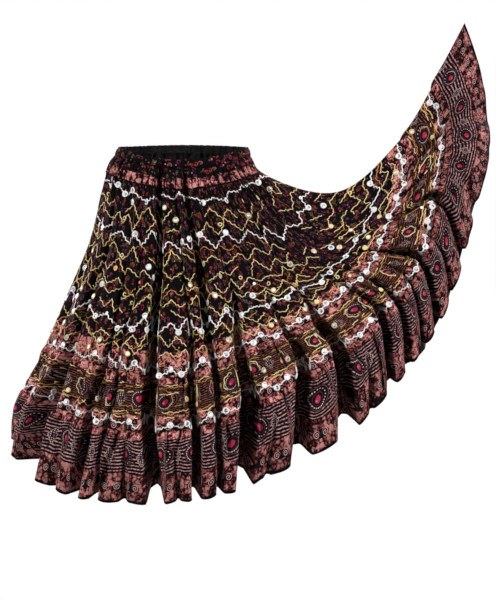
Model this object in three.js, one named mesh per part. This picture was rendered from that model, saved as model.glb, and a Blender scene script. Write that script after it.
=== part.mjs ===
// A full tiered skirt of thin printed cotton, as worn, with its left side seam lifted out and up.
//
// A gathered waistband carries a short yoke, a long embroidered tier and two gathered flounces.
// Each tier is a front and a back panel, joined at the two side seams.
// Millimetres, +Z up, the wearer faces -Y. The origin is the middle of the waist opening.
//
// "share" runs once round the skirt, from 0 at the lifted side seam, over the front to 0.5 at
// the other side seam, and over the back to 1. "length" runs down the cloth from the waist.
import * as THREE from "three";

// Cloth
const CLOTH = 2.0;
const ELASTIC = 4.0;
const SEAM_GAP = 0.3;

// How far down the cloth each seam lies
const BAND_END = 28;
const YOKE_END = 92;
const MIDDLE = 320;
const SEAM_ONE = 545;
const SEAM_TWO = 705;
const HEM = 895;

// The waist and the yoke's lower edge are ovals, lower in front
const WAIST = { halfWidth: 172, halfDepth: 112, sideZ: 0, frontDip: 32, backRise: 6 };
const YOKE = { halfWidth: 205, halfDepth: 140, sideZ: -66, frontDip: 42, backRise: 4 };

// One row for each line of cloth that runs from the waist to the hem over the front half.
// turn is its angle round the waist in degrees, puff how far the last flounce stands out.
const FRONT = [
  { share: 0.0, turn: 0, middle: [411, 0, -117], one: [575, 0, 19], two: [655, 0, 153], hem: [742, 0, 325], puff: 0 },
  { share: 0.02, turn: 9, middle: [412, -18, -148], one: [597, -22, -29], two: [685, -20, 97], hem: [785, -16, 198], puff: 30 },
  { share: 0.045, turn: 18, middle: [401, -40, -197], one: [587, -48, -107], two: [693, -45, 13], hem: [811, -34, 14], puff: 40 },
  { share: 0.075, turn: 27, middle: [378, -65, -238], one: [555, -80, -179], two: [674, -78, -98], hem: [755, -95, -208], puff: 25 },
  { share: 0.12, turn: 37, middle: [340, -92, -273], one: [515, -120, -265], two: [634, -130, -277], hem: [682, -165, -413], puff: 15 },
  { share: 0.18, turn: 48, middle: [290, -120, -299], one: [440, -165, -360], two: [531, -185, -419], hem: [569, -230, -568], puff: 12 },
  { share: 0.24, turn: 61, middle: [209, -155, -319], one: [305, -215, -454], two: [380, -240, -535], hem: [421, -285, -713], puff: 12 },
  { share: 0.3, turn: 77, middle: [106, -188, -331], one: [148, -262, -511], two: [178, -298, -639], hem: [178, -335, -830], puff: 12 },
  { share: 0.36, turn: 96, middle: [0, -205, -337], one: [8, -290, -562], two: [9, -330, -695], hem: [5, -370, -864], puff: 12 },
  { share: 0.42, turn: 119, middle: [-108, -190, -331], one: [-153, -275, -557], two: [-175, -318, -693], hem: [-194, -368, -861], puff: 12 },
  { share: 0.465, turn: 143, middle: [-196, -125, -304], one: [-269, -190, -532], two: [-307, -225, -661], hem: [-345, -276, -838], puff: 12 },
  { share: 0.5, turn: 180, middle: [-257, 0, -267], one: [-372, 0, -527], two: [-429, 0, -651], hem: [-463, 0, -793], puff: 12 },
];

// The back mirrors the front, a little shallower. Beside the lifted side it lies closer to the
// front, and its hem hangs further out and lower.
const BACK = { depthScale: 0.94, closer: 0.16, hemOut: 45, hemDrop: 60, seamShare: 0.35, lowFrom: 0.04, lowTo: 0.3 };

// Fold valleys over the front half: where each starts below the yoke and where it ends at the
// hem, how deep it is beside the deepest, and how far it lifts the hem
const FRONT_FOLDS = [
  { top: 0.026, hem: 0.036, depth: 0.08, lift: 0 },
  { top: 0.044, hem: 0.069, depth: 0.2, lift: 14 },
  { top: 0.059, hem: 0.09, depth: 0.5, lift: 34 },
  { top: 0.08, hem: 0.112, depth: 0.4, lift: 24 },
  { top: 0.1, hem: 0.134, depth: 0.55, lift: 34 },
  { top: 0.119, hem: 0.155, depth: 0.55, lift: 26 },
  { top: 0.138, hem: 0.175, depth: 0.7, lift: 24 },
  { top: 0.158, hem: 0.195, depth: 0.8, lift: 30 },
  { top: 0.178, hem: 0.218, depth: 0.35, lift: 6 },
  { top: 0.2, hem: 0.2365, depth: 0.9, lift: 24 },
  { top: 0.229, hem: 0.2715, depth: 0.8, lift: 26 },
  { top: 0.256, hem: 0.289, depth: 0.3, lift: 4 },
  { top: 0.284, hem: 0.304, depth: 1.0, lift: 22 },
  { top: 0.333, hem: 0.325, depth: 0.6, lift: 10 },
  { top: 0.355, hem: 0.347, depth: 0.8, lift: 12 },
  { top: 0.371, hem: 0.361, depth: 0.35, lift: 4 },
  { top: 0.388, hem: 0.377, depth: 1.0, lift: 22 },
  { top: 0.405, hem: 0.402, depth: 0.45, lift: 6 },
  { top: 0.421, hem: 0.425, depth: 0.8, lift: 10 },
  { top: 0.44, hem: 0.4385, depth: 0.8, lift: 14 },
  { top: 0.455, hem: 0.456, depth: 0.35, lift: 4 },
  { top: 0.468, hem: 0.4755, depth: 0.9, lift: 14 },
  { top: 0.488, hem: 0.493, depth: 0.45, lift: 10 },
];
// The back's folds, spaced by rule, each a little off the even spacing
const BACK_FOLDS = 18;
const BACK_FOLD_SWAY = 0.005;
const BACK_FOLD_LIFT = 18;

// Depth of the deepest fold at each seam, and how much of it lies outside the plain form
const FOLD_DEPTH = { waist: 0, yoke: 7, middle: 13, one: 26, two: 48, hem: 80 };
const CREST_SHARE = 0.4;
const VALLEY_ROUNDING = 0.16;
const FOLD_UPWARD = 0.25;
// The four places across each fold where the wall has a corner, from valley to valley
const FOLD_STEPS = [0, 0.17, 0.5, 0.83];

// Fine gathers of the elastic waist, in and out from one column to the next
const GATHER = 1.4;

const RINGS = [0, YOKE_END, MIDDLE, SEAM_ONE, SEAM_TWO, HEM];
const FOLD_AT_RINGS = [
  FOLD_DEPTH.waist, FOLD_DEPTH.yoke, FOLD_DEPTH.middle, FOLD_DEPTH.one, FOLD_DEPTH.two, FOLD_DEPTH.hem,
];

const ease = (s) => s * s * (3 - 2 * s);
const clamp = (s) => Math.min(Math.max(s, 0), 1);
const bump = (s) => Math.sin(Math.PI * clamp(s));

// A smooth curve through vectors at uneven knots
function through(knots, points, at) {
  const last = knots.length - 1;
  let i = 0;
  while (i < last - 1 && at > knots[i + 1]) i += 1;
  const slope = (j) => {
    const before = Math.max(j - 1, 0);
    const after = Math.min(j + 1, last);
    return points[after].clone().sub(points[before]).divideScalar(knots[after] - knots[before]);
  };
  const span = knots[i + 1] - knots[i];
  const s = (at - knots[i]) / span;
  return points[i].clone().multiplyScalar(1 - ease(s))
    .addScaledVector(points[i + 1], ease(s))
    .addScaledVector(slope(i), span * s * (1 - s) * (1 - s))
    .addScaledVector(slope(i + 1), -span * s * s * (1 - s));
}

// A straight-line value between knots
function between(knots, values, at) {
  let i = 0;
  while (i < knots.length - 2 && at > knots[i + 1]) i += 1;
  const s = clamp((at - knots[i]) / (knots[i + 1] - knots[i]));
  return values[i] + (values[i + 1] - values[i]) * s;
}

function oval(form, turn) {
  const angle = THREE.MathUtils.degToRad(turn);
  const forward = Math.sin(angle);
  const tilt = forward > 0 ? -form.frontDip : form.backRise;
  return new THREE.Vector3(
    form.halfWidth * Math.cos(angle), -form.halfDepth * forward, form.sideZ + tilt * forward * forward);
}

function backRow(row) {
  const low = bump((row.share - BACK.lowFrom) / (BACK.lowTo - BACK.lowFrom));
  const depthScale = BACK.depthScale - BACK.closer * low;
  const mirror = ([x, y, z], share) => [
    x + share * low * BACK.hemOut, -y * depthScale, z - share * low * BACK.hemDrop,
  ];
  return {
    share: 1 - row.share,
    turn: 360 - row.turn,
    middle: mirror(row.middle, 0),
    one: mirror(row.one, 0),
    two: mirror(row.two, BACK.seamShare),
    hem: mirror(row.hem, 1),
    puff: row.puff,
  };
}

// The whole way round, and one row past each end so that the curves close smoothly
const inner = FRONT.slice(1, -1);
const around = [...FRONT, ...inner.map(backRow).reverse()];
const wrapped = [
  ...around.slice(-2).map((row) => ({ ...row, share: row.share - 1 })),
  ...around,
  ...around.slice(0, 3).map((row) => ({ ...row, share: row.share + 1 })),
];
const rowShares = wrapped.map((row) => row.share);
const ringRows = [
  wrapped.map((row) => oval(WAIST, row.turn)),
  wrapped.map((row) => oval(YOKE, row.turn)),
  ...["middle", "one", "two", "hem"].map((ring) => wrapped.map((row) => new THREE.Vector3(...row[ring]))),
];
const puffs = wrapped.map((row) => new THREE.Vector3(row.puff, 0, 0));

function plainPoint(share, length) {
  const rings = ringRows.map((points) => through(rowShares, points, share));
  return through(RINGS, rings, length);
}

// The outward normal of a surface given as a function of share and length
function normalOf(surface, share, length) {
  const dShare = 0.0004;
  const dLength = 1.5;
  const across = surface(share + dShare, length).sub(surface(share - dShare, length));
  const down = surface(share, length + dLength).sub(surface(share, length - dLength));
  return across.cross(down).normalize();
}

// Fold valleys the whole way round, with the first and last again past each end
function foldValleys() {
  const back = Array.from({ length: BACK_FOLDS }, (_, k) => {
    const even = 0.5 + (0.5 * (k + 0.5)) / BACK_FOLDS;
    return {
      top: even + BACK_FOLD_SWAY * Math.sin(1.7 * k * k + 2),
      hem: even + BACK_FOLD_SWAY * Math.sin(2.3 * k * k + 1),
      depth: (0.62 + 0.3 * Math.sin(1.9 * k + 0.4)) * ease(clamp((BACK_FOLDS - k) / 6)),
      lift: BACK_FOLD_LIFT * (0.6 + 0.4 * Math.sin(2.9 * k)),
    };
  });
  const all = [...FRONT_FOLDS, ...back];
  const moved = (fold, by) => ({ ...fold, top: fold.top + by, hem: fold.hem + by });
  return [moved(all.at(-1), -1), ...all, moved(all[0], 1)];
}
const valleys = foldValleys();

function valleyShare(fold, length) {
  return fold.top + (fold.hem - fold.top) * clamp((length - YOKE_END) / (HEM - YOKE_END));
}

// Where a share lies between its two fold valleys: 0 and 1 at the valleys, with the values there
function foldAt(share, length) {
  const once = share - Math.floor(share);
  let k = 0;
  while (k < valleys.length - 2 && once > valleyShare(valleys[k + 1], length)) k += 1;
  const [left, right] = [valleys[k], valleys[k + 1]];
  const [from, to] = [valleyShare(left, length), valleyShare(right, length)];
  const across = (once - from) / (to - from);
  const rise = Math.hypot(Math.sin(Math.PI * across), VALLEY_ROUNDING) - VALLEY_ROUNDING;
  return {
    crest: rise / (Math.hypot(1, VALLEY_ROUNDING) - VALLEY_ROUNDING),
    depth: left.depth + (right.depth - left.depth) * ease(across),
    lift: left.lift + (right.lift - left.lift) * ease(across),
  };
}

// The folds stand out level, and only a little upward, where the cloth slopes
function clothPoint(share, length) {
  const { crest, depth } = foldAt(share, length);
  const puff = through(rowShares, puffs, share - Math.floor(share)).x;
  const out = puff * bump((length - SEAM_TWO) / (HEM - SEAM_TWO));
  const fold = between(RINGS, FOLD_AT_RINGS, length) * depth * (crest - 1 + CREST_SHARE);
  const normal = normalOf(plainPoint, share, length);
  const level = new THREE.Vector3(normal.x, normal.y, normal.z * FOLD_UPWARD);
  return plainPoint(share, length).addScaledVector(normal, out).addScaledVector(level, fold);
}

// The hem is lifted at each fold valley
function hemLength(share) {
  const { crest, lift } = foldAt(share, HEM);
  return HEM - lift * (1 - crest);
}

// Every column of the wall, at the same steps across every fold, as a share for each length
function columnsBetween(from, to) {
  const columns = [];
  for (let k = 0; k < valleys.length - 1; k += 1) {
    FOLD_STEPS.forEach((step) => columns.push((length) => {
      const start = valleyShare(valleys[k], length);
      return start + (valleyShare(valleys[k + 1], length) - start) * step;
    }));
  }
  const clear = 0.0015;
  const inside = (share) => share > from + clear && share < to - clear;
  return columns.filter((column) => inside(column(YOKE_END)) && inside(column(HEM)));
}

// The share that lies half a seam gap inside a side seam
function insideSeam(share, length, inward) {
  const step = 0.0005;
  const run = clothPoint(share, length).distanceTo(clothPoint(share + inward * step, length));
  return share + (inward * step * SEAM_GAP) / 2 / run;
}

// A wall of cloth over a grid of shares and lengths: the outer face, the inner face and the rims
function clothWall({ columns: shareOf, rows: lengthOf, closed, thickness, gather }) {
  const columns = shareOf.length;
  const rows = lengthOf.length;
  const outer = [];
  const innerFace = [];
  lengthOf.forEach((lengthAt, j) => {
    shareOf.forEach((shareAt, i) => {
      const length = lengthAt(shareAt(HEM));
      const share = shareAt(length);
      const normal = normalOf(clothPoint, share, length);
      const ripple = (i % 2 ? 1 : -1) * gather(length);
      const point = clothPoint(share, length).addScaledVector(normal, ripple);
      outer[j * columns + i] = point.clone().addScaledVector(normal, thickness / 2);
      innerFace[j * columns + i] = point.clone().addScaledVector(normal, -thickness / 2);
    });
  });
  const index = [];
  const quad = (a, b, c, d) => index.push(a, c, b, a, d, c);
  const inside = rows * columns;
  const spans = closed ? columns : columns - 1;
  for (let i = 0; i < spans; i += 1) {
    const next = (i + 1) % columns;
    for (let j = 0; j < rows - 1; j += 1) {
      const [a, b] = [j * columns + i, j * columns + next];
      const [c, d] = [b + columns, a + columns];
      quad(a, d, c, b);
      quad(inside + a, inside + b, inside + c, inside + d);
    }
    const foot = (rows - 1) * columns;
    quad(i, next, inside + next, inside + i);
    quad(foot + i, inside + foot + i, inside + foot + next, foot + next);
  }
  if (!closed) {
    for (let j = 0; j < rows - 1; j += 1) {
      const a = j * columns;
      const b = a + columns;
      quad(a, inside + a, inside + b, b);
      quad(a + columns - 1, b + columns - 1, inside + b + columns - 1, inside + a + columns - 1);
    }
  }
  const positions = [...outer, ...innerFace].flatMap((p) => [p.x, p.y, p.z]);
  const geometry = new THREE.BufferGeometry();
  geometry.setAttribute("position", new THREE.Float32BufferAttribute(positions, 3));
  geometry.setIndex(index);
  return geometry;
}

function cloth(colour) {
  return new THREE.MeshStandardMaterial({ color: colour, roughness: 0.85, metalness: 0 });
}

function named(name, geometry, material) {
  const mesh = new THREE.Mesh(geometry, material);
  mesh.name = name;
  return mesh;
}

// Row lengths of a tier: seam to seam less the gap, at the given steps of its length
function rowsOf(top, foot, steps) {
  const start = top + SEAM_GAP / 2;
  const end = (share) => (foot === HEM ? hemLength(share) : foot - SEAM_GAP / 2);
  return steps.map((step) => (share) => start + (end(share) - start) * step);
}

const HALVES = [
  { side: "front", from: 0, to: 0.5 },
  { side: "back", from: 0.5, to: 1 },
];

function tier(name, top, foot, steps, colour, gather = () => 0) {
  return HALVES.map(({ side, from, to }) => {
    const columns = [
      (length) => insideSeam(from, length, 1),
      ...columnsBetween(from, to),
      (length) => insideSeam(to, length, -1),
    ];
    const geometry = clothWall({
      columns, rows: rowsOf(top, foot, steps), closed: false, thickness: CLOTH, gather,
    });
    return named(`${name}_${side}`, geometry, cloth(colour));
  });
}

function waistband() {
  const columns = [() => 0, ...columnsBetween(0, 0.5), () => 0.5, ...columnsBetween(0.5, 1)];
  const geometry = clothWall({
    columns: columns.length % 2 ? columns.slice(0, -1) : columns,
    rows: rowsOf(0, BAND_END, [0, 1]),
    closed: true,
    thickness: ELASTIC,
    gather: () => GATHER,
  });
  return named("waistband", geometry, cloth(0x0d0a0c));
}

const yokeGather = (length) => GATHER * clamp(1 - (length - BAND_END) / (YOKE_END - BAND_END));

const skirt = new THREE.Group();
skirt.add(
  waistband(),
  ...tier("yoke", BAND_END, YOKE_END, [0, 0.5, 1], 0x1a0e12, yokeGather),
  ...tier("embroidered_tier", YOKE_END, SEAM_ONE, [0, 0.33, 0.67, 1], 0x120c10),
  ...tier("upper_flounce", SEAM_ONE, SEAM_TWO, [0, 0.5, 1], 0x4a2a26),
  ...tier("hem_flounce", SEAM_TWO, HEM, [0, 0.33, 0.67, 1], 0x3a2022),
);

export default skirt;
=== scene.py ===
"""A full tiered skirt of printed and embroidered cotton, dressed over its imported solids.

The cloth is built by the same named sizes as the solids, in millimetres, and becomes metres in
mesh_from(). "share" runs once round the skirt, from 0 at the lifted side seam, over the front to
0.5 at the other side seam, and over the back to 1. "length" runs down the cloth from the waist.
"""
import math

import bpy
import numpy as np
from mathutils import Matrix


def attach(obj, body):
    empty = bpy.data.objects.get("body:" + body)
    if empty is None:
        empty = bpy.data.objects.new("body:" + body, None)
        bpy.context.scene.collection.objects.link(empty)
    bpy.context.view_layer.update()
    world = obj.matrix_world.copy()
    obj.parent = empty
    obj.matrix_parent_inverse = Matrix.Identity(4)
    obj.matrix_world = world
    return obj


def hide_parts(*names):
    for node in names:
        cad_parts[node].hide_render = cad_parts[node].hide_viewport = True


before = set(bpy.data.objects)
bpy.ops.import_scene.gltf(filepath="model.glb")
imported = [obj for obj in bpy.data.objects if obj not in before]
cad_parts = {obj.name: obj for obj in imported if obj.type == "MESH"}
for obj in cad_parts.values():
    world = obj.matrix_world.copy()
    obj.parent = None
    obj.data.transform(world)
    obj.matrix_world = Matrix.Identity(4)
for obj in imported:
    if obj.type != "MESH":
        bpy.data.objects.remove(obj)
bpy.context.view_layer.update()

MM = 0.001
TAU = 2 * math.pi
rng = np.random.default_rng(41)

# The form, by the same sizes as the solids
BAND_END, YOKE_END, MIDDLE, SEAM_ONE, SEAM_TWO, HEM = 28, 92, 320, 545, 705, 895
WAIST = {"half_width": 172, "half_depth": 112, "side_z": 0, "front_dip": 32, "back_rise": 6}
YOKE = {"half_width": 205, "half_depth": 140, "side_z": -66, "front_dip": 42, "back_rise": 4}

ROW_COLUMNS = ("share", "turn", "middle", "one", "two", "hem", "puff")
FRONT = [dict(zip(ROW_COLUMNS, row)) for row in (
    (0.0, 0, (411, 0, -117), (575, 0, 19), (655, 0, 153), (742, 0, 325), 0),
    (0.02, 9, (412, -18, -148), (597, -22, -29), (685, -20, 97), (785, -16, 198), 30),
    (0.045, 18, (401, -40, -197), (587, -48, -107), (693, -45, 13), (811, -34, 14), 40),
    (0.075, 27, (378, -65, -238), (555, -80, -179), (674, -78, -98), (755, -95, -208), 25),
    (0.12, 37, (340, -92, -273), (515, -120, -265), (634, -130, -277), (682, -165, -413), 15),
    (0.18, 48, (290, -120, -299), (440, -165, -360), (531, -185, -419), (569, -230, -568), 12),
    (0.24, 61, (209, -155, -319), (305, -215, -454), (380, -240, -535), (421, -285, -713), 12),
    (0.3, 77, (106, -188, -331), (148, -262, -511), (178, -298, -639), (178, -335, -830), 12),
    (0.36, 96, (0, -205, -337), (8, -290, -562), (9, -330, -695), (5, -370, -864), 12),
    (0.42, 119, (-108, -190, -331), (-153, -275, -557), (-175, -318, -693), (-194, -368, -861), 12),
    (0.465, 143, (-196, -125, -304), (-269, -190, -532), (-307, -225, -661), (-345, -276, -838), 12),
    (0.5, 180, (-257, 0, -267), (-372, 0, -527), (-429, 0, -651), (-463, 0, -793), 12),
)]
BACK = {
    "depth_scale": 0.94, "closer": 0.16, "hem_out": 45, "hem_drop": 60,
    "seam_share": 0.35, "low_from": 0.04, "low_to": 0.3,
}

# The cloth's folds. The first four columns are the solids' own. "calm" flattens a fold above the hem
# flounce, the gaps sink its valley in the tier above and in the flounces, and "bow" bends it sideways.
FOLD_COLUMNS = ("top", "hem", "depth", "lift", "calm", "upper_gap", "lower_gap", "bow")
FRONT_FOLDS = [dict(zip(FOLD_COLUMNS, row)) for row in (
    (0.026, 0.036, 0.08, 0, 0.5, 0.0, 0.25, 0.0),
    (0.044, 0.069, 0.2, 14, 0.6, 0.0, 0.15, 0.0),
    (0.059, 0.09, 0.5, 34, 0.75, 0.0, 0.7, 0.0),
    (0.08, 0.112, 0.4, 24, 0.75, 0.0, 0.2, 0.0),
    (0.1, 0.134, 0.55, 34, 0.75, 0.0, 1.0, 0.0),
    (0.119, 0.155, 0.55, 26, 0.75, 0.0, 0.25, 0.0),
    (0.138, 0.175, 0.7, 24, 0.7, 0.0, 0.9, 0.0),
    (0.158, 0.195, 0.8, 30, 0.65, 0.0, 1.0, 0.0),
    (0.178, 0.218, 0.35, 6, 0.7, 0.0, 0.0, 0.0),
    (0.2, 0.2365, 0.9, 24, 0.65, 0.0, 1.3, 0.0),
    (0.229, 0.2715, 0.8, 26, 0.6, 0.0, 0.9, 0.0),
    (0.256, 0.289, 0.3, 4, 0.6, 0.0, 0.0, 0.0),
    (0.284, 0.304, 1.0, 22, 0.4, 0.05, 1.6, 0.0),
    (0.333, 0.325, 0.6, 10, 0.0, 0.9, 0.25, 0.0),
    (0.355, 0.347, 0.8, 12, 0.0, 0.2, 0.9, 0.0),
    (0.371, 0.361, 0.35, 4, 0.4, 0.0, 0.0, 0.005),
    (0.388, 0.377, 1.0, 22, 0.0, 1.7, 1.4, 0.010),
    (0.405, 0.402, 0.45, 6, 0.4, 0.0, 0.0, 0.006),
    (0.421, 0.425, 0.8, 10, 0.4, 0.1, 0.2, -0.002),
    (0.44, 0.4385, 0.8, 14, 0.2, 0.1, 1.2, -0.002),
    (0.455, 0.456, 0.35, 4, 0.4, 0.0, 0.0, 0.0),
    (0.468, 0.4755, 0.9, 14, 0.0, 0.5, 1.7, 0.0),
    (0.488, 0.493, 0.45, 10, 0.0, 0.1, 0.2, 0.0),
)]
BACK_FOLDS, BACK_FOLD_SWAY, BACK_FOLD_LIFT, BACK_FADE = 18, 0.005, 18, 6

RINGS = np.array([0, YOKE_END, MIDDLE, SEAM_ONE, SEAM_TWO, HEM], float)
FOLD_AT_RINGS = np.array([0, 7, 13, 28, 54, 86], float)
GAP_AT_RINGS = np.array([0, 24, 44, 72, 88, 66], float)
LOWER_AT_RINGS = np.array([0, 0, 0, 0.5, 1, 1], float)
CREST_SHARE = 0.4
FOLD_UPWARD = 0.25
FOLD_WANDER, FOLD_WANDER_LENGTH = 0.003, 52
FLOOR_SHARE, FLOOR_BY_GAP, FLOOR_BY_WIDE_GAP, WALL_SHARE, CROWN = 0.02, 0.06, 0.055, 0.14, 0.4


def ease(s):
    return s * s * (3 - 2 * s)


def bump(s):
    return np.sin(np.pi * np.clip(s, 0, 1))


def oval(form, turn):
    angle = math.radians(turn)
    forward = math.sin(angle)
    tilt = -form["front_dip"] if forward > 0 else form["back_rise"]
    return (
        form["half_width"] * math.cos(angle),
        -form["half_depth"] * forward,
        form["side_z"] + tilt * forward * forward,
    )


def back_row(row):
    low = float(bump((row["share"] - BACK["low_from"]) / (BACK["low_to"] - BACK["low_from"])))
    depth_scale = BACK["depth_scale"] - BACK["closer"] * low

    def mirror(point, share):
        x, y, z = point
        return (x + share * low * BACK["hem_out"], -y * depth_scale, z - share * low * BACK["hem_drop"])

    return {
        "share": 1 - row["share"], "turn": 360 - row["turn"], "puff": row["puff"],
        "middle": mirror(row["middle"], 0), "one": mirror(row["one"], 0),
        "two": mirror(row["two"], BACK["seam_share"]), "hem": mirror(row["hem"], 1),
    }


def form_rows():
    around = FRONT + [back_row(row) for row in reversed(FRONT[1:-1])]
    before = [{**row, "share": row["share"] - 1} for row in around[-2:]]
    after = [{**row, "share": row["share"] + 1} for row in around[:3]]
    return before + around + after


ROWS = form_rows()
ROW_SHARES = np.array([row["share"] for row in ROWS])
ROW_POINTS = np.array([
    [oval(WAIST, row["turn"]), oval(YOKE, row["turn"]), row["middle"], row["one"], row["two"], row["hem"]]
    for row in ROWS
])
ROW_PUFFS = np.array([row["puff"] for row in ROWS], float)


def slopes(knots, values, axis):
    index = np.arange(len(knots))
    before = np.maximum(index - 1, 0)
    after = np.minimum(index + 1, len(knots) - 1)
    rise = np.take(values, after, axis) - np.take(values, before, axis)
    shape = [1] * values.ndim
    shape[axis] = len(knots)
    return rise / (knots[after] - knots[before]).reshape(shape)


def weights(knots, at):
    i = np.clip(np.searchsorted(knots, at) - 1, 0, len(knots) - 2)
    span = knots[i + 1] - knots[i]
    s = (at - knots[i]) / span
    return i, 1 - ease(s), ease(s), span * s * (1 - s) ** 2, -span * s * s * (1 - s)


def round_curve(values, share):
    """A smooth curve round the skirt through one value for each row, at many shares."""
    i, a, b, c, d = weights(ROW_SHARES, share)
    slope = slopes(ROW_SHARES, values, 0)
    wide = (slice(None),) + (None,) * (values.ndim - 1)
    return a[wide] * values[i] + b[wide] * values[i + 1] + c[wide] * slope[i] + d[wide] * slope[i + 1]


def plain(share, length):
    """Points of the plain form, without its folds."""
    rings = round_curve(ROW_POINTS, share)
    i, a, b, c, d = weights(RINGS, length)
    slope = slopes(RINGS, rings, 1)
    k = np.arange(len(share))
    return (
        a[:, None] * rings[k, i] + b[:, None] * rings[k, i + 1]
        + c[:, None] * slope[k, i] + d[:, None] * slope[k, i + 1]
    )


def unit(vectors):
    return vectors / np.maximum(np.linalg.norm(vectors, axis=-1, keepdims=True), 1e-9)


SHARE_STEP, LENGTH_STEP = 0.0004, 1.5


def plain_normal(share, length):
    across = plain(share + SHARE_STEP, length) - plain(share - SHARE_STEP, length)
    down = plain(share, length + LENGTH_STEP) - plain(share, length - LENGTH_STEP)
    return unit(np.cross(across, down))


def fold_valleys():
    k = np.arange(BACK_FOLDS)
    even = 0.5 + 0.5 * (k + 0.5) / BACK_FOLDS
    toward_tip = ease(np.clip((BACK_FOLDS - k) / BACK_FADE, 0, 1))
    back = {
        "top": even + BACK_FOLD_SWAY * np.sin(1.7 * k * k + 2),
        "hem": even + BACK_FOLD_SWAY * np.sin(2.3 * k * k + 1),
        "depth": (0.62 + 0.3 * np.sin(1.9 * k + 0.4)) * toward_tip,
        "lift": BACK_FOLD_LIFT * (0.6 + 0.4 * np.sin(2.9 * k)),
        "calm": 0.4 + 0.3 * np.sin(1.3 * k),
        "upper_gap": np.clip(0.9 * np.sin(2.1 * k + 1), 0, 1),
        "lower_gap": np.clip(0.45 + 0.75 * np.sin(2.1 * k + 1.4), 0, 1.2) * toward_tip,
        "bow": 0.003 * np.sin(1.1 * k),
    }
    folds = {key: np.concatenate([[fold[key] for fold in FRONT_FOLDS], back[key]]) for key in FOLD_COLUMNS}
    for key in FOLD_COLUMNS:
        turn = 1 if key in ("top", "hem") else 0
        folds[key] = np.concatenate([folds[key][-1:] - turn, folds[key], folds[key][:1] + turn])
    return folds


VALLEYS = fold_valleys()
FOLD_NUMBERS = np.arange(-1, len(FRONT_FOLDS) + BACK_FOLDS + 1) % (len(FRONT_FOLDS) + BACK_FOLDS)


def fold_at(share, length):
    """How far up its fold each point is (1 at the crest), and the fold's depth, lift and gap."""
    once = share - np.floor(share)
    t = np.clip((length - YOKE_END) / (HEM - YOKE_END), 0, 1)
    places = VALLEYS["top"] + (VALLEYS["hem"] - VALLEYS["top"]) * t[:, None]
    turns = length[:, None] / FOLD_WANDER_LENGTH + 2.4 * FOLD_NUMBERS
    places = places + (VALLEYS["bow"] + FOLD_WANDER * np.sin(turns)) * bump(t)[:, None]
    k = np.clip((places < once[:, None]).sum(1) - 1, 0, places.shape[1] - 2)
    rows = np.arange(len(once))
    start, end = places[rows, k], places[rows, k + 1]
    across = (once - start) / (end - start)
    nearer = np.where(across < 0.5, k, k + 1)
    lower = np.interp(length, RINGS, LOWER_AT_RINGS)
    gap = VALLEYS["upper_gap"][nearer] * (1 - lower) + VALLEYS["lower_gap"][nearer] * lower
    floor = FLOOR_SHARE + FLOOR_BY_GAP * gap + FLOOR_BY_WIDE_GAP * gap * gap
    wall = ease(np.clip((np.minimum(across, 1 - across) - floor) / WALL_SHARE, 0, 1))
    crest = wall * (1 - CROWN) + CROWN * np.sin(np.pi * across)

    def blend(key):
        return VALLEYS[key][k] + (VALLEYS[key][k + 1] - VALLEYS[key][k]) * ease(across)

    above_hem = 1 - ease(np.clip((length - SEAM_TWO) / (HEM - SEAM_TWO), 0, 1))
    depth = blend("depth") * (1 - blend("calm") * above_hem)
    sunk = np.interp(length, RINGS, GAP_AT_RINGS) * gap * (1 - wall)
    return crest, depth, blend("lift"), sunk


def folded(share, length):
    """Points of the cloth with its main folds."""
    crest, depth, _, sunk = fold_at(share, length)
    puff = round_curve(ROW_PUFFS, share - np.floor(share)) * bump((length - SEAM_TWO) / (HEM - SEAM_TWO))
    fold = np.interp(length, RINGS, FOLD_AT_RINGS) * depth * (crest - 1 + CREST_SHARE) - sunk
    normal = plain_normal(share, length)
    level = normal * (1, 1, FOLD_UPWARD)
    return plain(share, length) + normal * puff[:, None] + level * fold[:, None]


def hem_length(share):
    crest, _, lift, _ = fold_at(share, np.full(len(share), float(HEM)))
    return HEM - lift * (1 - crest)


# The sheets: how each tier is gridded and how its gathers fall from the seam above
TIER_COLUMNS = (
    "name", "top", "foot", "columns", "rows", "thickness", "gathers", "depth", "reach", "swell", "inset",
    "tucks", "tuck_depth",
)
TIERS = [dict(zip(TIER_COLUMNS, row)) for row in (
    ("waistband", 0, BAND_END, 900, 6, 2.0, 62, 5.5, 400, 0.0, 0.0, 0, 0),
    ("yoke", BAND_END - 2, YOKE_END, 960, 18, 1.2, 70, 11.0, 110, 5.0, 0.0, 0, 0),
    ("embroidered_tier", YOKE_END - 3, SEAM_ONE, 1040, 44, 1.2, 120, 7.0, 70, 2.0, -2.5, 40, 11.0),
    ("upper_flounce", SEAM_ONE - 3, SEAM_TWO, 1450, 30, 1.2, 190, 10.0, 38, 10.0, -3.5, 90, 26.0),
    ("hem_flounce", SEAM_TWO - 3, HEM, 1450, 33, 1.2, 210, 12.0, 45, 13.0, -3.5, 90, 34.0),
)]
ROW_CROWDING = 0.35
GATHER_WIDE, TUCK_WIDE, TUCK_LENGTHEN = 0.22, 0.13, 2.4


def rows_down(count):
    """Rows of a tier from 0 to 1, closer together near its top, where the gathers are."""
    t = np.linspace(0, 1, count)
    return t * (1 - ROW_CROWDING) + t * t * ROW_CROWDING


def grid_normals(points):
    across = np.roll(points, -1, 1) - np.roll(points, 1, 1)
    down = np.gradient(points, axis=0)
    return unit(np.cross(across, down))


def arc_of(points):
    """Distance along each row of a closed grid, with the whole way round at the end."""
    steps = np.linalg.norm(np.roll(points, -1, 1) - points, axis=2)
    return np.concatenate([np.zeros((len(points), 1)), np.cumsum(steps, 1)], 1)


def way_along(points):
    """How far along an open line each of its points lies, as a distance."""
    return np.concatenate([[0], np.cumsum(np.linalg.norm(np.diff(points, axis=0), axis=1))])


def way_round(points):
    """How far along an open line each of its points lies, from 0 to 1."""
    way = way_along(points)
    return way / way[-1]


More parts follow.
